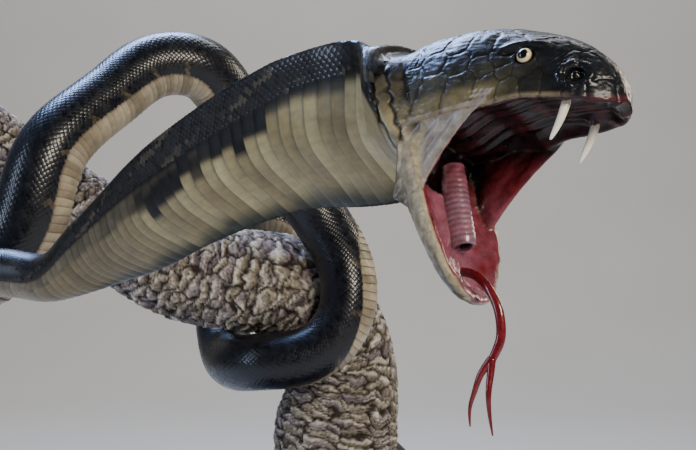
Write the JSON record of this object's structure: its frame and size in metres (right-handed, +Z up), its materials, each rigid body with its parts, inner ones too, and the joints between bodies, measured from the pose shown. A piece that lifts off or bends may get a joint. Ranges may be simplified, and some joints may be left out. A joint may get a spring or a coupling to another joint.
{
  "type": "king cobra model",
  "caption": "Striking king cobra with open mouth and spread hood, coiled on a cut branch that a small stand holds up.",
  "frame": {"origin": "middle of the display base's underside, on the floor", "axes": "+Z up; +X the way the snake strikes, to the right in the picture; -Y towards the viewer"},
  "size_m": [0.5758, 0.8093, 0.6508],
  "materials": {
    "dark_scales": "satin",
    "belly": "satin",
    "flesh": "wet gloss",
    "pale_skin": "satin",
    "tongue": "wet gloss",
    "ivory": "polished",
    "eye": "polished",
    "bark": "rough bark",
    "stand": "matt black",
    "steel": "brushed"
  },
  "bodies": {
    "root": {"head": "dark_scales", "lower_jaw": "pale_skin", "cheeks": "flesh", "eye_right": "eye", "eye_left": "eye", "fang_right": "ivory", "fang_left": "ivory", "windpipe": "flesh", "tongue": "tongue", "hood": "belly", "branch": "bark", "stand_base": "stand", "stand_rod_1": "steel", "stand_rod_2": "steel", "body_01": "dark_scales", "body_02": "dark_scales", "body_03": "dark_scales", "body_04": "dark_scales", "body_05": "dark_scales", "body_06": "dark_scales", "body_07": "dark_scales", "body_08": "dark_scales", "body_09": "dark_scales", "body_10": "dark_scales", "body_11": "dark_scales", "body_12": "dark_scales", "tail_1": "dark_scales", "tail_2": "dark_scales"}
  },
  "joints": []
}
